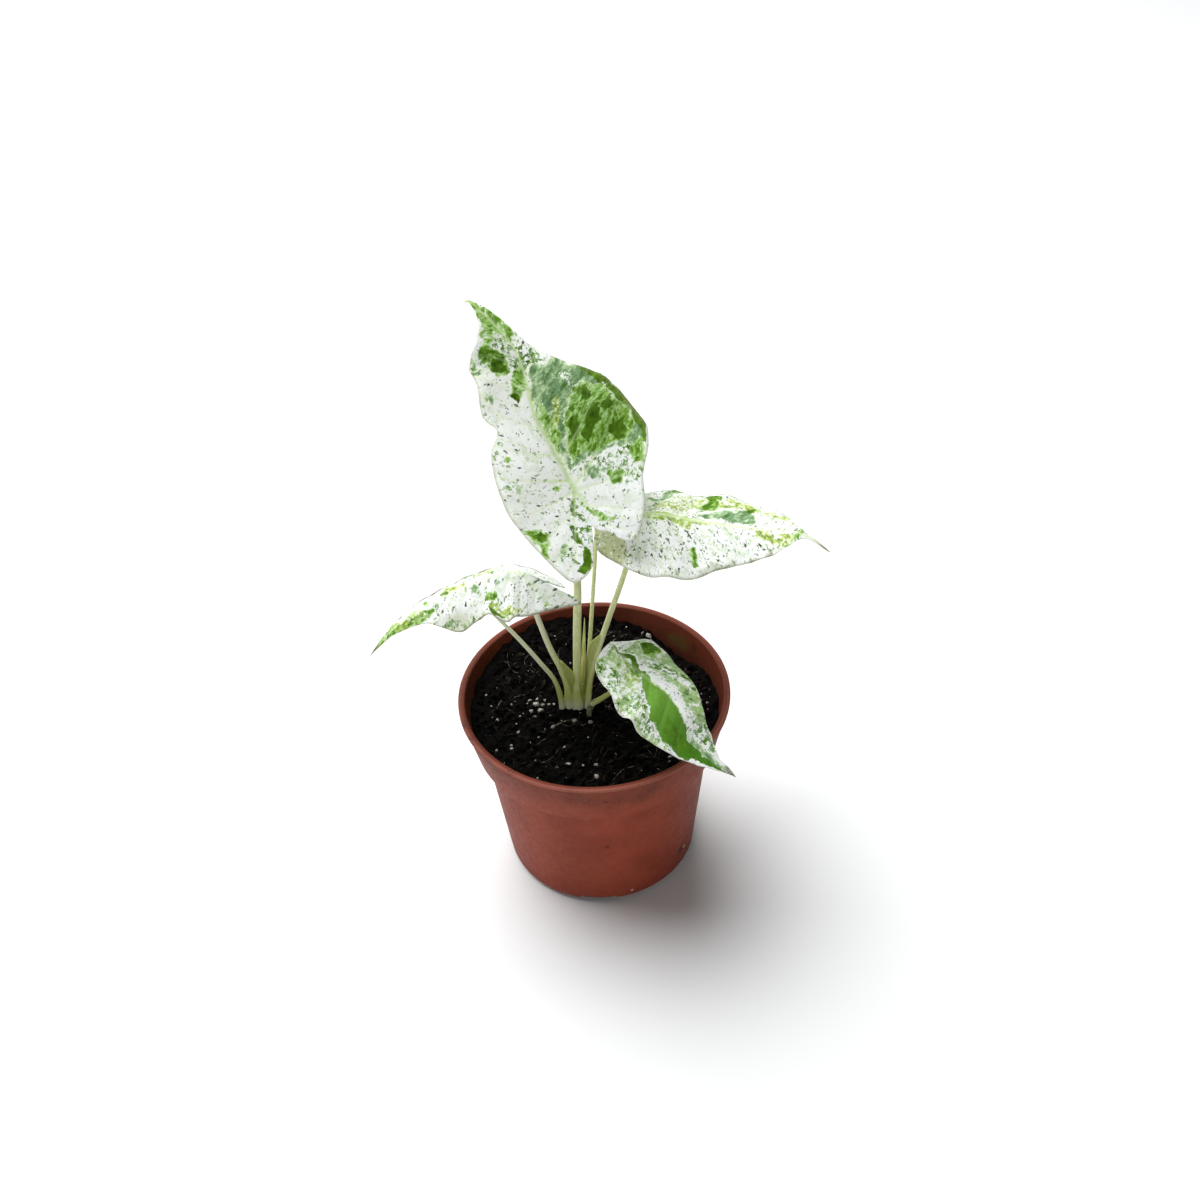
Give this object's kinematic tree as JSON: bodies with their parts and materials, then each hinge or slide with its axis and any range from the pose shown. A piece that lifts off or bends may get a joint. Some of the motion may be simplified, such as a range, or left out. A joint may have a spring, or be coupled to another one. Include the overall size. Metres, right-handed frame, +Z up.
{
  "type": "potted splash giant taro",
  "caption": "Young variegated giant taro with splashed arrow-shaped leaves on slim stalks, growing in soil in a round terracotta-coloured plastic nursery pot.",
  "frame": {"origin": "middle of the pot's flat foot, on the surface the pot stands on", "axes": "+Z up along the pot's axis, the plant's best side faces -Y, +X to the right seen from there"},
  "size_m": [0.1893, 0.1205, 0.2613],
  "materials": {
    "pot_plastic": "matte, faintly scuffed",
    "soil": "rough, crumbly",
    "rootstock": "matte",
    "new_leaf": "satin",
    "petiole": "satin",
    "leaf_blade": "satin, white splashed with green"
  },
  "bodies": {
    "root": {"pot": "pot_plastic", "soil": "soil", "rootstock": "rootstock", "new_leaf_spike": "new_leaf", "leaf_1_petiole": "petiole", "leaf_2_petiole": "petiole", "leaf_3_petiole": "petiole", "leaf_4_petiole": "petiole", "leaf_5_petiole": "petiole", "leaf_6_petiole": "petiole", "leaf_1_blade": "leaf_blade", "leaf_2_blade": "leaf_blade", "leaf_3_blade": "leaf_blade", "leaf_4_blade": "leaf_blade", "leaf_5_blade": "leaf_blade", "leaf_6_blade": "leaf_blade"}
  },
  "joints": []
}
